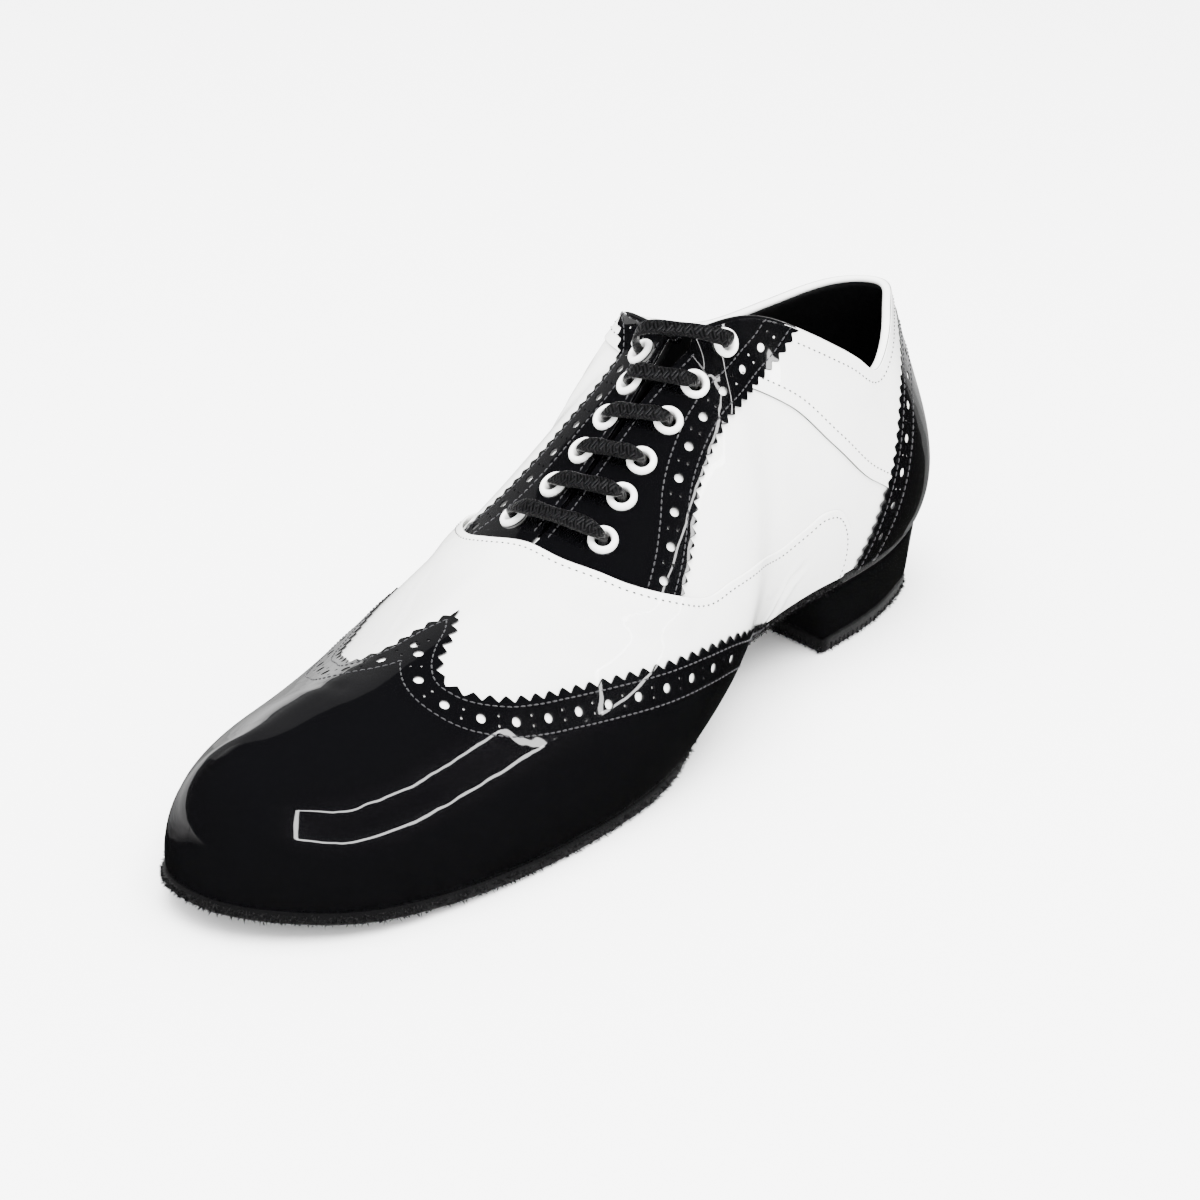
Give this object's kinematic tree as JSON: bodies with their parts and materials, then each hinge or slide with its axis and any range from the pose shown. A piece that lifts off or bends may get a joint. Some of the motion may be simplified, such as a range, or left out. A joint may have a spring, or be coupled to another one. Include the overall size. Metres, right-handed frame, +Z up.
{
  "type": "spectator shoe",
  "caption": "Right lace-up spectator shoe: white upper, black wing cap, counter and facings, flat lace in straight bars, thin sole, low heel.",
  "frame": {"origin": "the middle of the heel's resting face, on the floor", "axes": "+Z up, the toe towards -Y and the heel's back towards +Y, the inner (medial) side towards +X"},
  "size_m": [0.1017, 0.2958, 0.112],
  "materials": {
    "patent_white": "patent gloss",
    "patent_black": "patent gloss",
    "soft_black": "satin",
    "eyelet_enamel": "gloss",
    "lace_braid": "matt braid",
    "insole_sock": "matt",
    "suede_sole": "suede",
    "heel_cover": "gloss",
    "suede_lift": "suede"
  },
  "bodies": {
    "root": {"upper": "patent_white", "wing_cap": "patent_black", "counter": "patent_black", "facing_medial": "patent_black", "facing_lateral": "patent_black", "eyelet_medial_1": "eyelet_enamel", "eyelet_medial_2": "eyelet_enamel", "eyelet_medial_3": "eyelet_enamel", "eyelet_medial_4": "eyelet_enamel", "eyelet_medial_5": "eyelet_enamel", "eyelet_medial_6": "eyelet_enamel", "eyelet_lateral_1": "eyelet_enamel", "eyelet_lateral_2": "eyelet_enamel", "eyelet_lateral_3": "eyelet_enamel", "eyelet_lateral_4": "eyelet_enamel", "eyelet_lateral_5": "eyelet_enamel", "eyelet_lateral_6": "eyelet_enamel", "tongue": "soft_black", "lace": "lace_braid", "outsole": "suede_sole", "insole": "insole_sock", "heel": "heel_cover", "top_lift": "suede_lift"}
  },
  "joints": []
}
